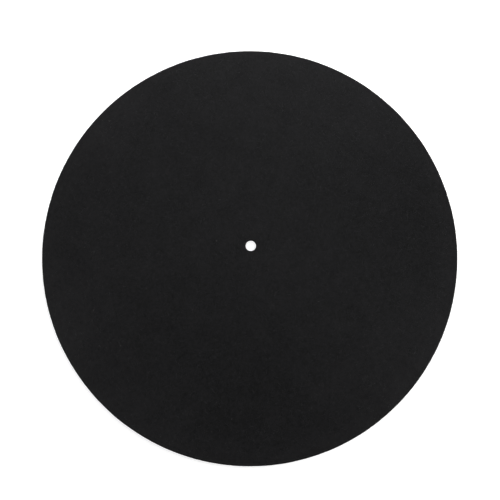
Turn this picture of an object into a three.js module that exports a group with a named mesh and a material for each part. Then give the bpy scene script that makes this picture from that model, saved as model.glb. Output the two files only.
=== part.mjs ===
// Turntable platter mat: one round, flat piece of thick black felt with a spindle hole.
//
// The mat is die-cut from sheet felt, so it is a single solid: two flat faces, a cut rim and a cut
// hole wall. The die comes down on the upper face. It presses the fibres down before it parts them,
// which leaves the upper arrises rounded over a wide, shallow curve and the lower ones nearly square.
//
// Millimetres, +Z up. The origin is the centre of the underside, which lies on the platter at z = 0,
// and the spindle passes up the Z axis.

import * as THREE from "three";

// The sheet and its two cuts.
const MAT_DIAMETER = 295;
const FELT_THICKNESS = 3;
const SPINDLE_DIAMETER = 7.1;
const SPINDLE_CLEARANCE = 0.2; // on the radius, all round the spindle

// How far each arris is rounded over: in from the cut, and down or up from the face.
const RIM_UPPER_EASE = { width: 0.9, height: 0.6 };
const RIM_LOWER_EASE = { width: 0.25, height: 0.25 };
const HOLE_UPPER_EASE = { width: 0.5, height: 0.4 };
const HOLE_LOWER_EASE = { width: 0.2, height: 0.2 };

// Fineness of the facets.
const ROUND_SEGMENTS = 144;
const UPPER_EASE_SEGMENTS = 5;
const LOWER_EASE_SEGMENTS = 3;

const FELT_COLOUR = 0x1f1f21;
const FELT_ROUGHNESS = 0.95;

const QUARTER_TURN = Math.PI / 2;

/** Corner of the section where a cut meets a face: a quarter ellipse, from one to the other. */
function easedArris({ cutRadius, faceHeight, ease, inward, downward, segments }) {
  // The quarter's centre lies inside the felt, in from the cut and in from the face.
  const centreRadius = cutRadius + inward * ease.width;
  const centreHeight = faceHeight + downward * ease.height;
  const points = [];
  for (let step = 0; step <= segments; step += 1) {
    const angle = (step / segments) * QUARTER_TURN;
    points.push(
      new THREE.Vector2(
        centreRadius - inward * ease.width * Math.cos(angle),
        centreHeight - downward * ease.height * Math.sin(angle),
      ),
    );
  }
  return points;
}

/** Closed section of the mat, in (radius, height), running round the felt once. */
function matSection() {
  const rimRadius = MAT_DIAMETER / 2;
  const holeRadius = SPINDLE_DIAMETER / 2 + SPINDLE_CLEARANCE;

  const rimLower = easedArris({
    cutRadius: rimRadius,
    faceHeight: 0,
    ease: RIM_LOWER_EASE,
    inward: -1,
    downward: 1,
    segments: LOWER_EASE_SEGMENTS,
  });
  const rimUpper = easedArris({
    cutRadius: rimRadius,
    faceHeight: FELT_THICKNESS,
    ease: RIM_UPPER_EASE,
    inward: -1,
    downward: -1,
    segments: UPPER_EASE_SEGMENTS,
  });
  const holeUpper = easedArris({
    cutRadius: holeRadius,
    faceHeight: FELT_THICKNESS,
    ease: HOLE_UPPER_EASE,
    inward: 1,
    downward: -1,
    segments: UPPER_EASE_SEGMENTS,
  });
  const holeLower = easedArris({
    cutRadius: holeRadius,
    faceHeight: 0,
    ease: HOLE_LOWER_EASE,
    inward: 1,
    downward: 1,
    segments: LOWER_EASE_SEGMENTS,
  });

  // Each arris runs from its cut to its face, so every other one is taken backwards.
  const outline = [
    ...rimLower.reverse(),
    ...rimUpper,
    ...holeUpper.reverse(),
    ...holeLower,
  ];
  return [...outline, outline[0].clone()];
}

/** The felt itself: its section turned once round the spindle's axis. */
function feltMat() {
  const geometry = new THREE.LatheGeometry(matSection(), ROUND_SEGMENTS);
  geometry.rotateX(QUARTER_TURN); // the lathe turns about Y, and the mat about Z
  const felt = new THREE.MeshStandardMaterial({
    color: FELT_COLOUR,
    roughness: FELT_ROUGHNESS,
    metalness: 0,
  });
  const mat = new THREE.Mesh(geometry, felt);
  mat.name = "felt_mat";
  return mat;
}

const platterMat = new THREE.Group();
platterMat.name = "platter_mat";
platterMat.add(feltMat());

export default platterMat;
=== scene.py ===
"""Dress the turntable platter mat: its black felt, the loose fibres on it, and the studio round it.

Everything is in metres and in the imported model's own frame. The spindle's axis is Z, and the mat lies
on its underside at z = 0.
"""

import logging
import math
from dataclasses import dataclass
from enum import Enum

import bpy
import numpy as np
from mathutils import Matrix, Vector


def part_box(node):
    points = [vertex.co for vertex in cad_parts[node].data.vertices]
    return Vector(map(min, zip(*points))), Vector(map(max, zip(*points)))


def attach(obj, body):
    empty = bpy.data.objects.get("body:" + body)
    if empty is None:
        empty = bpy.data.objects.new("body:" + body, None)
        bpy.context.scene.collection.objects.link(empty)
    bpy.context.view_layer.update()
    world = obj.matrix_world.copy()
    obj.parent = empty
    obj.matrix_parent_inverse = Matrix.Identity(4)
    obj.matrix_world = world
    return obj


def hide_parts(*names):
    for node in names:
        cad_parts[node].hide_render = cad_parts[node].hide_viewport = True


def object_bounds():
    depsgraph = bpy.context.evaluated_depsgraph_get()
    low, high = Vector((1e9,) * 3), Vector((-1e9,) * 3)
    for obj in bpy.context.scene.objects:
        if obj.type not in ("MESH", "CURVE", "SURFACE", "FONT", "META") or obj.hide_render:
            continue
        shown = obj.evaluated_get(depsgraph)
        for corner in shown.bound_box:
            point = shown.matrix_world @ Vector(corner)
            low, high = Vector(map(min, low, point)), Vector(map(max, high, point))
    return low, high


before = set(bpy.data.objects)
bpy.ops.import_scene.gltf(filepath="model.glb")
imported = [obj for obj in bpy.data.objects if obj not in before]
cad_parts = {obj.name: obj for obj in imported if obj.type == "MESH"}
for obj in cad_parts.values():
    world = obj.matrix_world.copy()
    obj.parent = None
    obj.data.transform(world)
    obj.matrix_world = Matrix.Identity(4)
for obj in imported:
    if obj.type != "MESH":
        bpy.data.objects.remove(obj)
cad_low, cad_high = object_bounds()

log = logging.getLogger("platter_mat")

Array = np.ndarray
Socket = bpy.types.NodeSocket

MAT_NODE = "felt_mat"
MAT_BODY = "root"

MM = 0.001
FULL_TURN = 2 * math.pi
BAKE_MAP = "OFBake"
TONE = "fibre_tone"
WHITE = (1.0, 1.0, 1.0, 1.0)

# A noise lies round its middle, and nearly all of it between its low and its high.
NOISE_LOW = 0.3
NOISE_MIDDLE = 0.5
NOISE_HIGH = 0.7


class Stretch(Enum):
    """The stretches of the mat's section, in the order in which its outline passes them."""

    HOLE_WALL = "hole wall"
    HOLE_UPPER = "upper arris of the hole"
    RECORD_FACE = "record face"
    RIM_UPPER = "upper arris of the rim"
    RIM_WALL = "rim wall"
    RIM_LOWER = "lower arris of the rim"
    UNDERSIDE = "underside"
    HOLE_LOWER = "lower arris of the hole"


@dataclass(frozen=True)
class MatSizes:
    """The mat's three real sizes, in metres."""

    radius: float
    hole_radius: float
    thickness: float

    @classmethod
    def from_frame(cls) -> "MatSizes":
        """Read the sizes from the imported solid.

        Returns:
            The radius from the solid's box, its thickness, and the hole's radius from the corner of
            the solid that lies nearest to the spindle's axis.
        """
        low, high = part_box(MAT_NODE)
        corners = np.array([corner.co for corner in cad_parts[MAT_NODE].data.vertices])
        nearest = float(np.hypot(corners[:, 0], corners[:, 1]).min())
        return cls((high.x - low.x) / 2, nearest, high.z - low.z)


@dataclass(frozen=True)
class Waves:
    """A smooth random field: plane waves of like length and any direction, added up."""

    shortest: float
    longest: float
    height: float
    seed: int
    count: int = 56

    def at(self, points: Array) -> Array:
        """Work out the field at some points.

        Args:
            points: The points, one a row, in two or three columns.

        Returns:
            One value a point, mostly within the field's height of nought.
        """
        draw = np.random.default_rng(self.seed)
        headings = draw.normal(size=(points.shape[1], self.count))
        headings /= np.linalg.norm(headings, axis=0)
        lengths = np.exp(draw.uniform(math.log(self.shortest), math.log(self.longest), self.count))
        phases = draw.uniform(0, FULL_TURN, self.count)
        total = np.cos(points @ (headings * FULL_TURN / lengths) + phases).sum(axis=1)
        return self.height * total / math.sqrt(self.count)


@dataclass(frozen=True)
class MeshParts:
    """What a mesh is made from: points, triangles, a place on the bake's map for each corner, tones."""

    points: Array
    triangles: Array
    places: Array
    tones: Array | None = None

    def piece(self, name: str, finish: bpy.types.Material) -> bpy.types.Object:
        """Make the object and put it in the scene.

        Args:
            name: The piece's name.
            finish: The material that the whole piece wears.

        Returns:
            The object, shaded smooth, with its bake map and, if it has tones, their attribute.
        """
        mesh = bpy.data.meshes.new(name)
        mesh.from_pydata(self.points.tolist(), [], self.triangles.tolist())
        places = mesh.uv_layers.new(name=BAKE_MAP)
        places.uv.foreach_set("vector", self.places.astype(np.float32).ravel())
        if self.tones is not None:
            tones = mesh.attributes.new(TONE, "FLOAT", "POINT")
            tones.data.foreach_set("value", self.tones.astype(np.float32))
        mesh.materials.append(finish)
        mesh.shade_smooth()
        piece = bpy.data.objects.new(name, mesh)
        bpy.context.scene.collection.objects.link(piece)
        return piece


class Recipe:
    """A material in the making, with a short method for each kind of node that the finishes use."""

    def __init__(self, name: str) -> None:
        """Start a material with one Principled shader.

        Args:
            name: The material's name.
        """
        self.material = bpy.data.materials.new(name)
        self.material.use_nodes = True
        self.tree = self.material.node_tree
        self.shader = self.tree.nodes["Principled BSDF"]
        self.where = self.add("ShaderNodeTexCoord").outputs["Object"]

    def add(self, kind: str, **settings: object) -> bpy.types.Node:
        """Add a node.

        Args:
            kind: Blender's name for the kind of node.
            **settings: Properties of the node to set.

        Returns:
            The node.
        """
        node = self.tree.nodes.new(kind)
        for name, value in settings.items():
            setattr(node, name, value)
        return node

    def feed(self, target: Socket, value: Socket | float | tuple[float, ...]) -> None:
        """Link a socket to another one, or give it a plain value.

        Args:
            target: The socket that takes the value.
            value: The socket to link to it, or the plain value.
        """
        if isinstance(value, bpy.types.NodeSocket):
            self.tree.links.new(value, target)
        else:
            target.default_value = value

    def sized(self, cell: tuple[float, float, float], turn: float, bent: Socket | None = None) -> Socket:
        """Place a texture on the piece at a real size.

        Args:
            cell: How far one unit of the texture reaches along X, Y and Z, in metres.
            turn: How far the texture is turned about Z, in degrees.
            bent: The place to read it at, if that isn't the plain place on the piece.

        Returns:
            The coordinate to read the texture at.
        """
        turned = self.add("ShaderNodeMapping", vector_type="TEXTURE")
        self.feed(turned.inputs["Vector"], bent or self.where)
        self.feed(turned.inputs["Rotation"], (0.0, 0.0, math.radians(turn)))
        self.feed(turned.inputs["Scale"], cell)
        return turned.outputs["Vector"]

    def away(self, x: float = 0.0, y: float = 0.0) -> Socket:
        """Measure how far a point lies from an upright line.

        Args:
            x: Where the line stands along X, in metres.
            y: Where it stands along Y.

        Returns:
            The distance, in metres.
        """
        level = self.add("ShaderNodeVectorMath", operation="MULTIPLY_ADD")
        self.feed(level.inputs[0], self.where)
        self.feed(level.inputs[1], (1.0, 1.0, 0.0))
        self.feed(level.inputs[2], (-x, -y, 0.0))
        length = self.add("ShaderNodeVectorMath", operation="LENGTH")
        self.feed(length.inputs[0], level.outputs["Vector"])
        return length.outputs["Value"]

    def noise(self, place: Socket, detail: float, roughness: float = 0.5) -> Socket:
        """Read a soft noise.

        Args:
            place: The coordinate to read it at.
            detail: How many finer layers it has.
            roughness: How much each finer layer counts.

        Returns:
            A number that lies round a half.
        """
        node = self.add("ShaderNodeTexNoise")
        self.feed(node.inputs["Vector"], place)
        self.feed(node.inputs["Scale"], 1.0)
        self.feed(node.inputs["Detail"], detail)
        self.feed(node.inputs["Roughness"], roughness)
        return node.outputs["Fac"]

    def sum(self, operation: str, first: Socket | float, second: Socket | float = 0.0) -> Socket:
        """Work out a sum of one or two numbers.

        Args:
            operation: Blender's name for the sum, such as ADD, MULTIPLY or MAXIMUM.
            first: The first number.
            second: The second number, if the sum takes one.

        Returns:
            What the sum comes to.
        """
        node = self.add("ShaderNodeMath", operation=operation)
        self.feed(node.inputs[0], first)
        self.feed(node.inputs[1], second)
        return node.outputs["Value"]

    def spread(
        self, value: Socket, low: float, high: float, to_low: float, to_high: float, soft: bool = False
    ) -> Socket:
        """Stretch a number from one range to another, and hold it within the new one.

        Args:
            value: The number.
            low: One end of its range.
            high: The other end.
            to_low: What the low end becomes.
            to_high: What the high end becomes.
            soft: Whether it eases in and out at the ends.

        Returns:
            The stretched number.
        """
        node = self.add("ShaderNodeMapRange", interpolation_type="SMOOTHSTEP" if soft else "LINEAR")
        for name, number in (
            ("Value", value),
            ("From Min", low),
            ("From Max", high),
            ("To Min", to_low),
            ("To Max", to_high),
        ):
            self.feed(node.inputs[name], number)
        return node.outputs["Result"]

    def tint(self, share: Socket, low: tuple[float, ...], high: tuple[float, ...]) -> Socket:
        """Blend two colours.

        Args:
            share: How much of the second colour shows, from 0 to 1.
            low: The first colour.
            high: The second colour.

        Returns:
            The blended colour.
        """
        node = self.add("ShaderNodeMix", data_type="RGBA")
        self.feed(node.inputs["Factor"], share)
        self.feed(node.inputs["A"], (*low, 1.0))
        self.feed(node.inputs["B"], (*high, 1.0))
        return node.outputs["Result"]

    def relief(self, height: Socket, depth: float, under: Socket | None = None) -> Socket:
        """Raise the surface by a number.

        Args:
            height: The number, where 1 stands highest.
            depth: How high 1 stands, in metres.
            under: The relief that this one lies on, if there is one.

        Returns:
            The surface's normal.
        """
        node = self.add("ShaderNodeBump")
        self.feed(node.inputs["Strength"], 1.0)
        self.feed(node.inputs["Distance"], depth)
        self.feed(node.inputs["Height"], height)
        if under:
            self.feed(node.inputs["Normal"], under)
        return node.outputs["Normal"]


@dataclass(frozen=True)
class LightAndShadePatch:
    """A broad soft area of painted light and shade: a shade below nought paints the felt darker, as if less
    light fell there, and one above nought paints it paler.
    """

    x: float
    y: float
    reach: float
    shade: float


@dataclass(frozen=True)
class Layer:
    """One layer of the felt's unevenness: how broad it is, and how far it shades and raises the felt."""

    breadth: float
    turn: float
    detail: float
    roughness: float
    swing: float
    shade: float
    height: float = 0.0

    def noise(self, recipe: Recipe) -> Socket:
        """Read the layer's noise, which lies round a half."""
        return recipe.noise(recipe.sized((self.breadth,) * 3, self.turn), self.detail, self.roughness)

    def shading(self, recipe: Recipe, noise: Socket) -> Socket:
        """Turn the layer's noise into a share of shade, darker below nought and paler above it."""
        low, high = NOISE_MIDDLE - self.swing, NOISE_MIDDLE + self.swing
        return recipe.spread(noise, low, high, -self.shade, self.shade)


@dataclass(frozen=True)
class FeltFinish:
    """Matt black wool felt: clouded, mottled, crossed by fine fibres, a little paler by its rim in painted
    sheen and in part a fuzzier cut edge, and with broad soft areas of painted light and shade.
    """

    hollow: tuple[float, float, float] = (0.0030, 0.00295, 0.0032)
    crown: tuple[float, float, float] = (0.0147, 0.01455, 0.0151)
    cloud: Layer = Layer(16 * MM, turn=0, detail=2.0, roughness=0.5, swing=0.2, shade=0.06)
    mottle: Layer = Layer(
        2.4 * MM, turn=25, detail=3.0, roughness=0.6, swing=0.25, shade=0.21, height=0.05 * MM
    )
    grain: Layer = Layer(
        0.66 * MM, turn=50, detail=2.0, roughness=0.6, swing=0.25, shade=0.23, height=0.03 * MM
    )
    fibre_length: float = 3.4 * MM
    fibre_gap: float = 0.3 * MM
    fibre_headings: tuple[float, ...] = (12.0, 58.0, 103.0, 151.0)
    fibre_sway: float = 2.6 * MM
    fibre_breadth: float = 0.06
    fibre_detail: float = 1.0
    fibre_height: float = 0.01 * MM
    between_fibres: float = 0.31
    along_fibres: float = 0.7
    # Painted sheen, in part a fuzzier cut edge: the felt's colour grows paler from rim_from out to rim_to.
    rim_from: float = 132 * MM
    rim_to: float = 147.5 * MM
    rim_fuzz_and_sheen: float = 0.08
    # Painted light and shade: broad soft areas of the felt's colour, darker where less light falls and paler
    # where more falls.
    light_and_shade_patches: tuple[LightAndShadePatch, ...] = (
        LightAndShadePatch(0.0, -104 * MM, 80 * MM, -0.135),
        LightAndShadePatch(130 * MM, 26 * MM, 90 * MM, -0.135),
        LightAndShadePatch(-60 * MM, -60 * MM, 60 * MM, -0.055),
        LightAndShadePatch(-140 * MM, -60 * MM, 60 * MM, 0.145),
        LightAndShadePatch(-120 * MM, 100 * MM, 60 * MM, 0.12),
        LightAndShadePatch(140 * MM, -100 * MM, 85 * MM, 0.125),
        LightAndShadePatch(0.0, 15 * MM, 70 * MM, 0.04),
        LightAndShadePatch(-50 * MM, 88 * MM, 70 * MM, -0.045),
    )
    roughest: float = 1.0
    smoothest: float = 0.9
    gloss: float = 0.05
    sheen: float = 0.03
    sheen_roughness: float = 0.45
    sheen_colour: tuple[float, float, float] = (0.92, 0.95, 1.0)

    def fibres(self, recipe: Recipe) -> Socket:
        """Draw the crossing fibres.

        Args:
            recipe: The material in the making.

        Returns:
            A number that is 1 along the middle of a fibre and 0 between fibres.
        """
        sway = recipe.add("ShaderNodeTexNoise")
        recipe.feed(sway.inputs["Vector"], recipe.sized((self.fibre_length,) * 3, 0))
        recipe.feed(sway.inputs["Scale"], 1.0)
        moved = recipe.add("ShaderNodeVectorMath", operation="MULTIPLY_ADD")
        recipe.feed(moved.inputs[0], sway.outputs["Color"])
        recipe.feed(moved.inputs[1], (self.fibre_sway,) * 3)
        recipe.feed(moved.inputs[2], recipe.where)
        total: Socket | float = 0.0
        for heading in self.fibre_headings:
            cell = (self.fibre_length, self.fibre_gap, self.fibre_gap)
            field = recipe.noise(recipe.sized(cell, heading, moved.outputs["Vector"]), self.fibre_detail)
            ridge = recipe.sum("ABSOLUTE", recipe.sum("SUBTRACT", field, NOISE_MIDDLE))
            total = recipe.sum("MAXIMUM", total, recipe.spread(ridge, 0.0, self.fibre_breadth, 1.0, 0.0))
        return total

    def material(self) -> bpy.types.Material:
        """Mix the felt.

        Returns:
            The material.
        """
        recipe = Recipe("black_felt")
        cloud, mottle, grain = (layer.noise(recipe) for layer in (self.cloud, self.mottle, self.grain))
        fibres = self.fibres(recipe)

        mottled = self.mottle.shading(recipe, mottle)
        grained = self.grain.shading(recipe, grain)
        threaded = recipe.spread(fibres, 0.0, 1.0, self.between_fibres, self.along_fibres)
        # painted sheen by the rim, in part a fuzzier cut edge
        paler = recipe.spread(recipe.away(), self.rim_from, self.rim_to, 0.0, self.rim_fuzz_and_sheen)
        slow = recipe.sum("ADD", self.cloud.shading(recipe, cloud), paler)
        # painted light and shade, added into the felt's colour
        for light_patch in self.light_and_shade_patches:
            away = recipe.away(light_patch.x, light_patch.y)
            shaded = recipe.spread(away, 0.0, light_patch.reach, light_patch.shade, 0.0, soft=True)
            slow = recipe.sum("ADD", slow, shaded)
        shade = recipe.sum("ADD", recipe.sum("ADD", slow, mottled), recipe.sum("ADD", grained, threaded))
        recipe.feed(recipe.shader.inputs["Base Color"], recipe.tint(shade, self.hollow, self.crown))

        matt = recipe.spread(mottle, NOISE_LOW, NOISE_HIGH, self.smoothest, self.roughest)
        recipe.feed(recipe.shader.inputs["Roughness"], matt)
        lumps = recipe.relief(mottle, self.mottle.height)
        pressed = recipe.relief(grain, self.grain.height, lumps)
        recipe.feed(recipe.shader.inputs["Normal"], recipe.relief(fibres, self.fibre_height, pressed))
        recipe.feed(recipe.shader.inputs["Specular IOR Level"], self.gloss)
        recipe.feed(recipe.shader.inputs["Sheen Weight"], self.sheen)
        recipe.feed(recipe.shader.inputs["Sheen Roughness"], self.sheen_roughness)
        recipe.feed(recipe.shader.inputs["Sheen Tint"], (*self.sheen_colour, 1.0))
        return recipe.material


@dataclass(frozen=True)
class FibreFinish:
    """Loose fibres, each of its own shade, and faintly streaked."""

    name: str
    darkest: tuple[float, float, float]
    palest: tuple[float, float, float]
    streak: float = 0.35 * MM
    streak_detail: float = 2.0
    streak_shade: float = 0.1
    streak_height: float = 0.004 * MM
    smoothest: float = 0.6
    roughest: float = 0.8
    gloss: float = 0.3

    def material(self) -> bpy.types.Material:
        """Mix the fibres' finish.

        Returns:
            The material.
        """
        recipe = Recipe(self.name)
        own = recipe.add("ShaderNodeAttribute", attribute_name=TONE).outputs["Fac"]
        streak = recipe.noise(recipe.sized((self.streak,) * 3, 0), self.streak_detail)
        streaked = recipe.spread(streak, NOISE_LOW, NOISE_HIGH, -self.streak_shade, self.streak_shade)
        shade = recipe.sum("ADD", own, streaked)
        recipe.feed(recipe.shader.inputs["Base Color"], recipe.tint(shade, self.darkest, self.palest))
        matt = recipe.spread(streak, NOISE_LOW, NOISE_HIGH, self.smoothest, self.roughest)
        recipe.feed(recipe.shader.inputs["Roughness"], matt)
        recipe.feed(recipe.shader.inputs["Normal"], recipe.relief(streak, self.streak_height))
        recipe.feed(recipe.shader.inputs["Specular IOR Level"], self.gloss)
        return recipe.material


@dataclass(frozen=True)
class Row:
    """One ring of points round the mat."""

    radius: float
    height: float
    facing_out: float
    facing_up: float
    spacing: float
    stretch: Stretch

    def count(self) -> int:
        """Count the points that fit round the ring at its spacing."""
        return round(FULL_TURN * self.radius / self.spacing)

    def angles(self, turn: float) -> Array:
        """Give the points' angles, where turn is the first one's lead, in steps."""
        return (np.arange(self.count()) + turn) * FULL_TURN / self.count()


@dataclass(frozen=True)
class Ease:
    """How far an arris is rounded over: in from the cut, and away from the face."""

    width: float
    height: float


@dataclass(frozen=True)
class FeltDisc:
    """The mat's felt: a disc of even thickness, softly uneven as felt is, with two die-cut edges."""

    sizes: MatSizes
    rim_upper: Ease = Ease(0.9 * MM, 0.6 * MM)
    rim_lower: Ease = Ease(0.25 * MM, 0.25 * MM)
    hole_upper: Ease = Ease(0.5 * MM, 0.4 * MM)
    hole_lower: Ease = Ease(0.2 * MM, 0.2 * MM)
    face_spacing: float = 1.25 * MM
    underside_spacing: float = 2.2 * MM
    rim_spacing: float = 0.6 * MM
    hole_spacing: float = 0.3 * MM
    wall_step: float = 0.42 * MM
    arris_steps: int = 4
    growth: float = 0.12
    stagger: float = 0.25
    felting: Waves = Waves(2.8 * MM, 8 * MM, 0.025 * MM, seed=11)
    clumps: Waves = Waves(12 * MM, 34 * MM, 0.03 * MM, seed=12)
    fray: Waves = Waves(1.3 * MM, 3.2 * MM, 0.025 * MM, seed=13)
    wander: Waves = Waves(9 * MM, 60 * MM, 0.012 * MM, seed=14)
    hole_care: float = 0.4
    hole_spring: float = 0.04 * MM
    lie: Waves = Waves(110 * MM, 260 * MM, 1.0, seed=15, count=20)
    lift: float = 0.16 * MM
    pressed: float = 0.35

    def wall(self, radius: float, start: float, end: float, spacing: float, stretch: Stretch) -> list[Row]:
        """Lay rows up or down a cut wall.

        Args:
            radius: The cut's radius.
            start: The height to start at.
            end: The height to stop short of.
            spacing: How far apart the points of a row are.
            stretch: The stretch that the rows belong to.

        Returns:
            The rows.
        """
        side = -1.0 if stretch is Stretch.HOLE_WALL else 1.0
        steps = round(abs(end - start) / self.wall_step)
        heights = np.linspace(start, end, steps, endpoint=False)
        return [Row(radius, float(height), side, 0.0, spacing, stretch) for height in heights]

    def arris(self, radius: float, ease: Ease, spacing: float, stretch: Stretch) -> list[Row]:
        """Lay rows over a rounded arris, in the order in which the section passes them.

        Args:
            radius: The cut's radius.
            ease: How far the arris is rounded over.
            spacing: How far apart the points of a row are.
            stretch: Which arris it is.

        Returns:
            The rows, from where the arris starts to just short of its end.
        """
        side = -1.0 if stretch in (Stretch.HOLE_UPPER, Stretch.HOLE_LOWER) else 1.0
        up = 1.0 if stretch in (Stretch.HOLE_UPPER, Stretch.RIM_UPPER) else -1.0
        face = self.sizes.thickness if up > 0 else 0.0
        angles = np.linspace(0, math.pi / 2, self.arris_steps + 1)
        if stretch in (Stretch.RIM_UPPER, Stretch.HOLE_LOWER):
            angles = angles[::-1]
        rows = []
        for angle in angles[:-1]:
            out, rise = math.cos(angle), math.sin(angle)
            facing = Vector((side * out / ease.width, up * rise / ease.height)).normalized()
            place_out = radius - side * ease.width * (1 - out)
            place_up = face - up * ease.height * (1 - rise)
            rows.append(Row(place_out, place_up, facing.x, facing.y, spacing, stretch))
        return rows

    def face(self, start: float, end: float, coarse: float, stretch: Stretch) -> list[Row]:
        """Lay rows across a flat face, close together near its cuts and coarser between them.

        Args:
            start: The radius to start at.
            end: The radius to stop short of.
            coarse: The widest spacing.
            stretch: Which face it is.

        Returns:
            The rows.
        """
        low, high = min(start, end), max(start, end)
        radii, spacings = [low], [self.hole_spacing]
        row_share = math.sqrt(3) / 2  # rows of even triangles lie this much closer than their points
        while radii[-1] < high:
            near_hole = self.hole_spacing + self.growth * (radii[-1] - low)
            near_rim = self.rim_spacing + self.growth * (high - radii[-1])
            spacings.append(min(coarse, near_hole, near_rim))
            radii.append(radii[-1] + spacings[-1] * row_share)
        fitted = low + (np.array(radii) - low) * (high - low) / (radii[-1] - low)
        rows = list(zip(fitted, spacings, strict=True))
        if start > end:
            rows.reverse()
        up, height = (1.0, self.sizes.thickness) if stretch is Stretch.RECORD_FACE else (-1.0, 0.0)
        return [Row(float(radius), height, 0.0, up, spacing, stretch) for radius, spacing in rows[:-1]]

    def rows(self) -> list[Row]:
        """Lay all rows round the section, from half-way up the hole's wall and back to there.

        Returns:
            The rows in order. The last one joins the first.
        """
        size, rim, hole = self.sizes, self.rim_spacing, self.hole_spacing
        middle, top = size.thickness / 2, size.thickness
        return [
            *self.wall(size.hole_radius, middle, top - self.hole_upper.height, hole, Stretch.HOLE_WALL),
            *self.arris(size.hole_radius, self.hole_upper, hole, Stretch.HOLE_UPPER),
            *self.face(
                size.hole_radius + self.hole_upper.width,
                size.radius - self.rim_upper.width,
                self.face_spacing,
                Stretch.RECORD_FACE,
            ),
            *self.arris(size.radius, self.rim_upper, rim, Stretch.RIM_UPPER),
            *self.wall(size.radius, top - self.rim_upper.height, middle, rim, Stretch.RIM_WALL),
            *self.wall(size.radius, middle, self.rim_lower.height, rim, Stretch.RIM_WALL),
            *self.arris(size.radius, self.rim_lower, rim, Stretch.RIM_LOWER),
            *self.face(
                size.radius - self.rim_lower.width,
                size.hole_radius + self.hole_lower.width,
                self.underside_spacing,
                Stretch.UNDERSIDE,
            ),
            *self.arris(size.hole_radius, self.hole_lower, hole, Stretch.HOLE_LOWER),
            *self.wall(size.hole_radius, self.hole_lower.height, middle, hole, Stretch.HOLE_WALL),
        ]

    def worked(self, points: Array, normals: Array) -> Array:
        """Give the plain disc the unevenness of felt that lies on a flat surface.

        Args:
            points: The plain disc's points.
            normals: Which way the plain disc faces at each of them.

        Returns:
            The felt's points.
        """
        level = np.clip(points[:, 2] / self.sizes.thickness, 0, 1)
        free = self.pressed + (1 - self.pressed) * level
        cut = np.hypot(normals[:, 0], normals[:, 1])
        swell = (self.felting.at(points) + self.clumps.at(points)) * free
        torn = self.fray.at(points) + self.wander.at(points[:, :2])
        by_hole = np.hypot(points[:, 0], points[:, 1]) < self.sizes.radius / 2
        moved = np.where(by_hole, self.hole_spring + self.hole_care * torn, torn)
        felt = points + normals * (swell + moved * cut)[:, None]
        felt[:, 2] += self.lift * np.clip(self.lie.at(points[:, :2]), 0, 1) ** 2
        felt[:, 2] = np.maximum(felt[:, 2], 0)
        return felt

    def parts(self) -> tuple[MeshParts, list[Stretch]]:
        """Join the rows into one closed mesh.

        Returns:
            The mesh's parts, and for each triangle the stretch that it lies on.
        """
        rows = self.rows()
        turns = [self.stagger if number % 2 else -self.stagger for number in range(len(rows))]
        angles = [row.angles(turn) for row, turn in zip(rows, turns, strict=True)]
        starts = np.concatenate([[0], np.cumsum([len(ring) for ring in angles])])
        points, normals = [], []
        for row, ring in zip(rows, angles, strict=True):
            round_out = np.stack([np.cos(ring), np.sin(ring), np.zeros(len(ring))], axis=1)
            points.append(round_out * row.radius + (0, 0, row.height))
            normals.append(round_out * row.facing_out + (0, 0, row.facing_up))

        layout = BakeLayout(rows, self.sizes)
        triangles, places, stretches = [], [], []
        for near in range(len(rows)):
            far = (near + 1) % len(rows)
            local = stitched(len(angles[near]), turns[near], len(angles[far]), turns[far])
            first, second = starts[near], starts[far] - len(angles[near])
            is_far = local >= len(angles[near])
            triangles.append(np.where(is_far, local + second, local + first))
            both = np.concatenate([angles[near], angles[far]])
            places.append(layout.places(near, is_far, both[local]))
            stretches += [rows[near].stretch] * len(local)
        felt = self.worked(np.concatenate(points), np.concatenate(normals))
        return MeshParts(felt, np.concatenate(triangles), np.concatenate(places).reshape(-1, 2)), stretches


class BakeLayout:
    """Where the felt lies on the bake's map: its upper half as a large circle, its lower as a small one."""

    MARGIN = 1.02
    UPPER_SHARE = 0.66

    def __init__(self, rows: list[Row], sizes: MatSizes) -> None:
        """Measure along the section, so that every stretch keeps its real width on the map.

        Args:
            rows: The felt's rows, in order round the section.
            sizes: The mat's sizes.
        """
        ends = [*rows[1:], rows[0]]
        steps = [
            math.hypot(end.radius - row.radius, end.height - row.height)
            for row, end in zip(rows, ends, strict=True)
        ]
        self.along = np.concatenate([[0], np.cumsum(steps)])
        stretches = [row.stretch for row in rows]
        top, under = stretches.index(Stretch.RECORD_FACE), stretches.index(Stretch.UNDERSIDE)
        self.upper = rows[top].radius - self.along[top]
        self.lower = rows[under].radius + self.along[under]
        heights = [row.height for row in rows]
        self.split = next(n for n in range(top, under) if heights[n] <= sizes.thickness / 2)
        widest = max(self.upper + self.along[self.split], self.lower - self.along[self.split])
        self.widest = widest * self.MARGIN
        both = 2 / (2 + math.sqrt(2))  # what the radii of circles in two corners of a square come to
        self.upper_reach = both * self.UPPER_SHARE
        self.lower_reach = both - self.upper_reach

    def places(self, near: int, is_far: Array, angles: Array) -> Array:
        """Lay the triangles between two rows on the map.

        Args:
            near: The number of the first row.
            is_far: For each corner, whether it lies on the second row.
            angles: Each corner's angle round the mat.

        Returns:
            A place for each corner, with 0 to 1 across the map.
        """
        along = np.where(is_far, self.along[near + 1], self.along[near])
        if near < self.split:
            out, reach, centre, mirror = self.upper + along, self.upper_reach, self.upper_reach, 1
        else:
            out, reach, centre, mirror = self.lower - along, self.lower_reach, 1 - self.lower_reach, -1
        out = out * reach / self.widest
        return centre + np.stack([out * np.cos(angles), mirror * out * np.sin(angles)], axis=-1)


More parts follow.
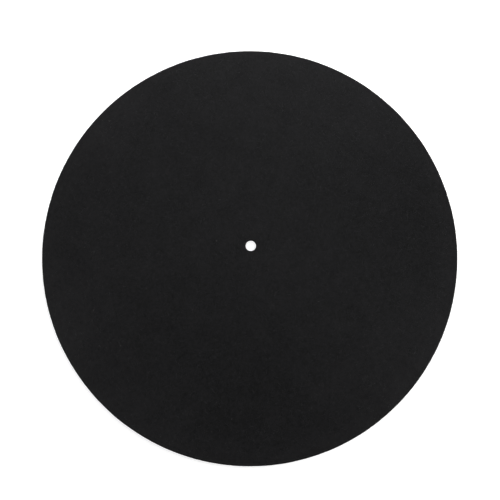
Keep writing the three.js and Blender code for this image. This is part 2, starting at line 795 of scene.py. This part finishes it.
def stitched(near: int, near_turn: float, far: int, far_turn: float) -> Array:
    """Join two rings of evenly spaced points with one band of triangles.

    Args:
        near: How many points the first ring has.
        near_turn: Its first point's lead, in steps, from -0.5 to 0.5.
        far: How many points the second ring has.
        far_turn: Its first point's lead.

    Returns:
        The triangles, one a row. The second ring's points are counted on from the first ring's.
    """
    near_middles = (np.arange(near) + 0.5 + near_turn) / near
    far_middles = (np.arange(far) + 0.5 + far_turn) / far
    order = np.argsort(np.concatenate([near_middles, far_middles]), kind="stable")
    from_far = order >= near
    passed_far = np.cumsum(from_far) - from_far
    passed_near = np.cumsum(~from_far) - ~from_far
    near_now, near_next = passed_near % near, (passed_near + 1) % near
    far_now, far_next = near + passed_far % far, near + (passed_far + 1) % far
    return np.stack([near_now, far_now, np.where(from_far, far_next, near_next)], axis=1)


@dataclass(frozen=True)
class Tubes:
    """Thin closed tubes with a few flat sides, one along each path."""

    paths: Array
    normals: Array
    radii: Array
    tones: Array
    sides: int = 3
    cell_margin: float = 0.12

    def points(self) -> Array:
        """Put a ring of points round each point of each path.

        Returns:
            The points, by path, step and side.
        """
        ahead = np.diff(self.paths, axis=1)
        along = np.concatenate([ahead[:, :1], ahead[:, :-1] + ahead[:, 1:], ahead[:, -1:]], axis=1)
        along /= np.linalg.norm(along, axis=2, keepdims=True)
        across = np.cross(along, self.normals[:, None])
        across /= np.linalg.norm(across, axis=2, keepdims=True)
        over = np.cross(across, along)
        rings = []
        for side in range(self.sides):
            angle = side * FULL_TURN / self.sides
            rings.append(across * math.cos(angle) + over * math.sin(angle))
        return self.paths[:, :, None] + np.stack(rings, axis=2) * self.radii[:, :, None, None]

    def parts(self) -> MeshParts:
        """Close the tubes.

        Returns:
            One mesh of all of them, each in a cell of its own on the bake's map.
        """
        count, rings = self.paths.shape[:2]
        corners, places = [], []
        for step in range(rings - 1):
            for side in range(self.sides):
                square = [(step, side), (step + 1, side), (step + 1, side + 1), (step, side + 1)]
                corners += [[square[0], square[1], square[2]], [square[0], square[2], square[3]]]
        for side in range(1, self.sides - 1):
            corners.append([(0, 0), (0, side), (0, side + 1)])
            corners.append([(rings - 1, 0), (rings - 1, side + 1), (rings - 1, side)])
        grid = np.array(corners)
        local = grid[..., 0] * self.sides + grid[..., 1] % self.sides
        places = grid / (rings - 1, self.sides)

        own = np.arange(count)[:, None, None]
        cells = math.ceil(math.sqrt(count))
        cell = np.stack([own % cells, own // cells], axis=-1)
        places = (cell + self.cell_margin + places[None] * (1 - 2 * self.cell_margin)) / cells
        return MeshParts(
            self.points().reshape(-1, 3),
            (local[None] + own * rings * self.sides).reshape(-1, 3),
            places.reshape(-1, 2),
            np.repeat(self.tones, rings * self.sides),
        )


@dataclass(frozen=True)
class FibreBed:
    """Loose fibres that stand out of some stretches of the felt."""

    name: str
    stretches: tuple[Stretch, ...]
    finish: FibreFinish
    count: int
    lengths: tuple[float, float]
    thicknesses: tuple[float, float]
    rise: tuple[float, float]
    fall: float
    bend: float
    seed: int
    steps: int = 4
    root_depth: float = 0.04 * MM
    tip: float = 0.55

    def roots(
        self, felt: MeshParts, stretches: list[Stretch], draw: np.random.Generator
    ) -> tuple[Array, Array]:
        """Choose where the fibres leave the felt, evenly by area.

        Args:
            felt: The felt's mesh.
            stretches: The stretch that each of its triangles lies on.
            draw: The source of chance.

        Returns:
            The roots, and the felt's normal at each.
        """
        wanted = np.array([stretch in self.stretches for stretch in stretches])
        corners = felt.points[felt.triangles[wanted]]
        facing = np.cross(corners[:, 1] - corners[:, 0], corners[:, 2] - corners[:, 0])
        areas = np.linalg.norm(facing, axis=1)
        chosen = draw.choice(len(areas), size=self.count, p=areas / areas.sum())
        shares = draw.dirichlet((1, 1, 1), self.count)
        return (corners[chosen] * shares[:, :, None]).sum(axis=1), facing[chosen] / areas[chosen, None]

    def build(self, felt: MeshParts, stretches: list[Stretch]) -> bpy.types.Object:
        """Grow the fibres.

        Args:
            felt: The felt's mesh.
            stretches: The stretch that each of its triangles lies on.

        Returns:
            The piece.
        """
        draw = np.random.default_rng(self.seed)
        roots, normals = self.roots(felt, stretches, draw)
        ahead = np.cross(normals, draw.normal(size=normals.shape))
        ahead /= np.linalg.norm(ahead, axis=1, keepdims=True)
        aside = np.cross(normals, ahead)
        lengths = draw.uniform(*self.lengths, self.count)
        rise = np.radians(draw.uniform(*self.rise, self.count))
        bend = np.radians(draw.uniform(-self.bend, self.bend, self.count))

        points = [roots - normals * self.root_depth]
        for step in range(self.steps):
            share = (step + 0.5) / self.steps
            climb, turn = rise * (1 - 2 * self.fall * share), bend * share
            level = ahead * np.cos(turn)[:, None] + aside * np.sin(turn)[:, None]
            heading = level * np.cos(climb)[:, None] + normals * np.sin(climb)[:, None]
            points.append(points[-1] + heading * (lengths / self.steps)[:, None])
        radii = draw.uniform(*self.thicknesses, self.count) / 2
        taper = np.linspace(1.0, self.tip, self.steps + 1)
        paths = np.stack(points, axis=1)
        paths[:, :, 2] = np.maximum(paths[:, :, 2], cad_low.z + radii[:, None])
        tones = draw.uniform(0, 1, self.count) ** 2  # squared, so that most of the fibres are dark
        tubes = Tubes(paths, normals, radii[:, None] * taper, tones)
        piece = tubes.parts().piece(self.name, self.finish.material())
        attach(piece, MAT_BODY)
        log.info("%s: %d fibres", self.name, self.count)
        return piece


@dataclass(frozen=True)
class Speck:
    """One pale speck of lint: where it lies, how long its fibre is and how it curls."""

    x: float
    y: float
    length: float
    thickness: float
    heading: float
    curl: float
    tone: float


@dataclass(frozen=True)
class Lint:
    """The few pale specks of lint that lie on the felt."""

    finish: FibreFinish
    specks: tuple[Speck, ...]
    steps: int = 14
    sides: int = 6
    hover: float = 0.05 * MM
    arch: float = 0.25
    tip: float = 0.45

    def build(self, felt: MeshParts) -> bpy.types.Object:
        """Lay the specks on the felt.

        Args:
            felt: The felt's mesh.

        Returns:
            The piece.
        """
        top = felt.points[felt.points[:, 2] > cad_high.z / 2]
        paths = []
        for speck in self.specks:
            turn = np.radians(speck.heading + speck.curl * np.linspace(-0.5, 0.5, self.steps))
            ahead = np.stack([np.cos(turn), np.sin(turn), self.arch * np.sin(2 * turn)], axis=1)
            path = np.cumsum(ahead * speck.length / self.steps, axis=0)
            path -= path.mean(axis=0)
            nearest = np.argmin(np.hypot(top[:, 0] - speck.x, top[:, 1] - speck.y))
            path += (speck.x, speck.y, top[nearest, 2] + self.hover)
            paths.append(path)
        radii = np.array([speck.thickness / 2 for speck in self.specks])[:, None]
        taper = self.tip + (1 - self.tip) * np.sin(np.linspace(0, math.pi, self.steps))
        normals = np.tile((0.0, 0.0, 1.0), (len(self.specks), 1))
        tones = np.array([speck.tone for speck in self.specks])
        tubes = Tubes(np.array(paths), normals, radii * taper, tones, self.sides)
        piece = tubes.parts().piece("lint_specks", self.finish.material())
        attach(piece, MAT_BODY)
        log.info("lint_specks: %d specks", len(self.specks))
        return piece


@dataclass(frozen=True)
class PlatterMat:
    """The whole mat: the felt disc with its loose fibres and lint."""

    disc: FeltDisc
    felt_finish: FeltFinish
    beds: tuple[FibreBed, ...]
    lint: Lint

    def build(self) -> None:
        felt, stretches = self.disc.parts()
        piece = felt.piece("felt_disc", self.felt_finish.material())
        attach(piece, MAT_BODY)
        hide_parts(MAT_NODE)
        log.info("felt_disc: %d triangles", len(felt.triangles))
        loose = [bed.build(felt, stretches) for bed in self.beds]
        loose.append(self.lint.build(felt))


@dataclass(frozen=True)
class PhotoCamera:
    """The camera that shows the mat as the photograph does.

    In the photograph the mat's outline is an exact circle, while its hole lies off that circle's
    centre. One slanting view of a round mat does that. With k the outline's radius and t the camera's
    step aside, each over its height, the hole lies 2kt / (1 + kk + tt) of a radius off the centre.
    The outline is that of the rim's upper arris, which the slant moves by a small nudge. The white
    floor's glare eats a little of it, and the hole's depth hides a little of the hole's far side.
    """

    frame_pixels: float = 500.0
    outline_pixel: tuple[float, float] = (249.704, 258.848)
    outline_radius_pixels: float = 207.37
    outline_nudge_pixels: tuple[float, float] = (0.04, -0.14)
    outline_glare_pixels: float = 0.34
    hole_pixel: tuple[float, float] = (250.734, 245.945)
    hole_depth_pixels: float = 0.06
    lens: float = 35.0
    sensor: float = 36.0
    arris_height: float = 2.56 * MM
    clip_start: float = 10 * MM

    def build(self, sizes: MatSizes) -> None:
        """Place the camera above the mat.

        Args:
            sizes: The mat's sizes.
        """
        focal = self.lens / self.sensor * self.frame_pixels
        right = self.hole_pixel[0] - self.outline_pixel[0]
        up = self.outline_pixel[1] - self.hole_pixel[1]
        radius = self.outline_radius_pixels + self.outline_glare_pixels
        offset = (math.hypot(right, up) + self.hole_depth_pixels) / radius
        roll = math.atan2(right, up)
        spread = radius / focal
        aside = (spread - math.sqrt(spread**2 - offset**2 * (1 + spread**2))) / offset
        tilt = math.atan2(2 * aside, 1 + spread**2 - aside**2)
        height = sizes.radius / spread

        axes = Matrix.Rotation(-roll, 3, "Z") @ Matrix.Rotation(tilt, 3, "X") @ Matrix.Rotation(roll, 3, "Z")
        place = Matrix.Rotation(-roll, 3, "Z") @ Vector((0, -aside * height, height))
        data = bpy.data.cameras.new("photo_camera")
        data.lens, data.sensor_width = self.lens, self.sensor
        centre = self.frame_pixels / 2
        middle_x = self.outline_pixel[0] + self.outline_nudge_pixels[0]
        middle_y = self.outline_pixel[1] + self.outline_nudge_pixels[1]
        axis_x = middle_x + math.sin(roll) * focal * aside
        axis_y = middle_y - math.cos(roll) * focal * aside
        data.shift_x = (centre - axis_x) / self.frame_pixels
        data.shift_y = (axis_y - centre) / self.frame_pixels
        data.clip_start = self.clip_start
        camera = bpy.data.objects.new("photo_camera", data)
        camera.matrix_world = Matrix.Translation(place + Vector((0, 0, self.arris_height))) @ axes.to_4x4()
        bpy.context.scene.collection.objects.link(camera)
        bpy.context.scene.camera = camera
        log.info("photo_camera: %.1f mm up, tilted %.2f degrees", height / MM, math.degrees(tilt))


@dataclass(frozen=True)
class Softbox:
    """One large soft light, aimed at the mat's centre."""

    name: str
    place: tuple[float, float, float]
    width: float
    power: float

    def build(self) -> None:
        """Hang the light."""
        data = bpy.data.lights.new(self.name, "AREA")
        data.shape, data.size, data.energy = "SQUARE", self.width, self.power
        light = bpy.data.objects.new(self.name, data)
        light.location = self.place
        light.rotation_euler = Vector(self.place).to_track_quat("Z", "Y").to_euler()
        light.visible_camera = False
        bpy.context.scene.collection.objects.link(light)


@dataclass(frozen=True)
class Studio:
    """A plain white studio: a floor that glows, a bright horizon, and three low softboxes."""

    floor_reach: float = 12.0
    floor_drop: float = 0.02 * MM
    floor_cloud: float = 0.6
    floor_detail: float = 2.0
    floor_dark: tuple[float, float, float] = (0.9, 0.9, 0.9)
    floor_pale: tuple[float, float, float] = (0.92, 0.92, 0.92)
    floor_roughness: float = 0.8
    floor_gloss: float = 0.1
    # Painted light: the floor glows though it is no lamp. It glows most under the spindle hole, where it
    # fills the hole's shade, least by the rim, and more again far out.
    rim_glow: float = 0.44
    hole_fill_glow: float = 0.75
    outer_glow: float = 0.63
    outer_reach: float = 0.6
    horizon: float = 1.1
    zenith: float = 0.37
    fade_from: float = 0.16
    fade_to: float = 0.6
    boxes: tuple[Softbox, ...] = (
        Softbox("far_softbox", place=(0.0, 0.45, 0.2), width=0.25, power=2.44),
        Softbox("right_softbox", place=(0.5, 0.0, 0.22), width=0.3, power=1.9),
        Softbox("near_left_softbox", place=(-0.4, -0.2, 0.18), width=0.25, power=0.59),
    )

    def floor(self) -> None:
        """Lay the floor just under the mat."""
        mesh = bpy.data.meshes.new("studio_floor")
        reach, level = self.floor_reach, cad_low.z - self.floor_drop
        corners = [(-reach, -reach), (reach, -reach), (reach, reach), (-reach, reach)]
        mesh.from_pydata([(x, y, level) for x, y in corners], [], [(0, 1, 2, 3)])
        recipe = Recipe("glowing_white_paper")
        soft = recipe.noise(recipe.sized((self.floor_cloud,) * 3, 0), self.floor_detail)
        white = recipe.tint(soft, self.floor_dark, self.floor_pale)
        recipe.feed(recipe.shader.inputs["Base Color"], white)
        recipe.feed(recipe.shader.inputs["Roughness"], self.floor_roughness)
        recipe.feed(recipe.shader.inputs["Specular IOR Level"], self.floor_gloss)
        # painted light: the floor's glow, which washes out the shade in the hole and most of the shade by
        # the rim
        recipe.feed(recipe.shader.inputs["Emission Color"], WHITE)
        away = recipe.away()
        inner = recipe.spread(away, 0.0, cad_high.x, self.hole_fill_glow, self.rim_glow)
        outer = recipe.spread(away, cad_high.x, self.outer_reach, 0.0, self.outer_glow - self.rim_glow)
        glow = recipe.sum("ADD", inner, outer)
        recipe.feed(recipe.shader.inputs["Emission Strength"], glow)
        mesh.materials.append(recipe.material)
        floor = bpy.data.objects.new("studio_floor", mesh)
        bpy.context.scene.collection.objects.link(floor)

    def surroundings(self) -> None:
        """Light the room: white walls at the horizon, and a dimmer ceiling."""
        world = bpy.data.worlds.new("white_studio")
        world.use_nodes = True
        tree = world.node_tree
        where = tree.nodes.new("ShaderNodeTexCoord")
        parts = tree.nodes.new("ShaderNodeSeparateXYZ")
        tree.links.new(where.outputs["Generated"], parts.inputs["Vector"])
        fade = tree.nodes.new("ShaderNodeMapRange")
        tree.links.new(parts.outputs["Z"], fade.inputs["Value"])
        for name, number in (
            ("From Min", self.fade_from),
            ("From Max", self.fade_to),
            ("To Min", self.horizon),
            ("To Max", self.zenith),
        ):
            fade.inputs[name].default_value = number
        background = tree.nodes["Background"]
        tree.links.new(fade.outputs["Result"], background.inputs["Strength"])
        background.inputs["Color"].default_value = WHITE
        bpy.context.scene.world = world

    def build(self) -> None:
        """Set the studio up."""
        self.floor()
        self.surroundings()
        for box in self.boxes:
            box.build()
        bpy.context.scene.view_settings.view_transform = "Standard"
        log.info("studio: %d softboxes", len(self.boxes))


def lint_on_the_felt() -> Lint:
    """Lay out the specks of lint.

    Returns:
        The lint, with each speck's place in millimetres from the spindle.
    """
    finish = FibreFinish("pale_lint", darkest=(0.04, 0.04, 0.04), palest=(0.125, 0.12, 0.115))
    # x, y, length and thickness in millimetres, heading and curl in degrees, tone from 0 to 1
    layout = (
        (-24.5, 3.5, 0.9, 0.17, 30.0, 200.0, 0.9),
        (-109.0, -45.0, 1.2, 0.13, 80.0, 160.0, 0.65),
        (-89.5, -69.0, 1.0, 0.14, 140.0, 240.0, 0.8),
        (47.5, -39.0, 0.9, 0.11, -20.0, 190.0, 0.6),
        (-104.0, 92.0, 1.6, 0.13, 10.0, 170.0, 1.0),
        (49.5, 130.0, 0.9, 0.11, 65.0, 210.0, 0.2),
        (63.5, 124.0, 0.9, 0.11, -50.0, 150.0, 0.2),
        (-22.5, 33.0, 1.3, 0.10, 15.0, 120.0, 0.8),
        (-73.0, -30.0, 1.2, 0.12, -75.0, 170.0, 0.7),
        (-13.0, -117.0, 1.4, 0.10, 40.0, 220.0, 0.5),
    )
    specks = tuple(
        Speck(x * MM, y * MM, length * MM, thickness * MM, heading, curl, tone)
        for x, y, length, thickness, heading, curl, tone in layout
    )
    return Lint(finish, specks)


def fibre_beds() -> tuple[FibreBed, ...]:
    """List the beds of loose fibres.

    Returns:
        The nap that lies on the record face, and the short fringe of the cut edges.
    """
    dyed = FibreFinish("dyed_fibre", darkest=(0.014, 0.014, 0.015), palest=(0.057, 0.057, 0.059))
    cut = FibreFinish("cut_fibre", darkest=(0.012, 0.012, 0.013), palest=(0.045, 0.045, 0.047))
    nap = FibreBed(
        name="nap_fibres",
        stretches=(Stretch.RECORD_FACE,),
        finish=dyed,
        count=7400,
        lengths=(1.4 * MM, 4.6 * MM),
        thicknesses=(0.024 * MM, 0.046 * MM),
        rise=(3.0, 20.0),
        fall=1.0,
        bend=150.0,
        seed=31,
    )
    fringe = FibreBed(
        name="edge_fibres",
        stretches=(
            Stretch.RIM_UPPER,
            Stretch.RIM_WALL,
            Stretch.RIM_LOWER,
            Stretch.HOLE_UPPER,
            Stretch.HOLE_WALL,
        ),
        finish=cut,
        count=5600,
        lengths=(0.3 * MM, 1.1 * MM),
        thicknesses=(0.022 * MM, 0.036 * MM),
        rise=(15.0, 75.0),
        fall=0.35,
        bend=110.0,
        seed=22,
    )
    return nap, fringe


def main() -> None:
    """Build the camera, the studio and the mat."""
    logging.basicConfig(level=logging.INFO, format="%(name)s: %(message)s")
    sizes = MatSizes.from_frame()
    log.info("sizes: radius %.2f, hole %.3f, thickness %.2f mm", *(
        size / MM for size in (sizes.radius, sizes.hole_radius, sizes.thickness)
    ))
    PhotoCamera().build(sizes)
    Studio().build()
    PlatterMat(FeltDisc(sizes), FeltFinish(), fibre_beds(), lint_on_the_felt()).build()


if __name__ == "__main__":
    main()
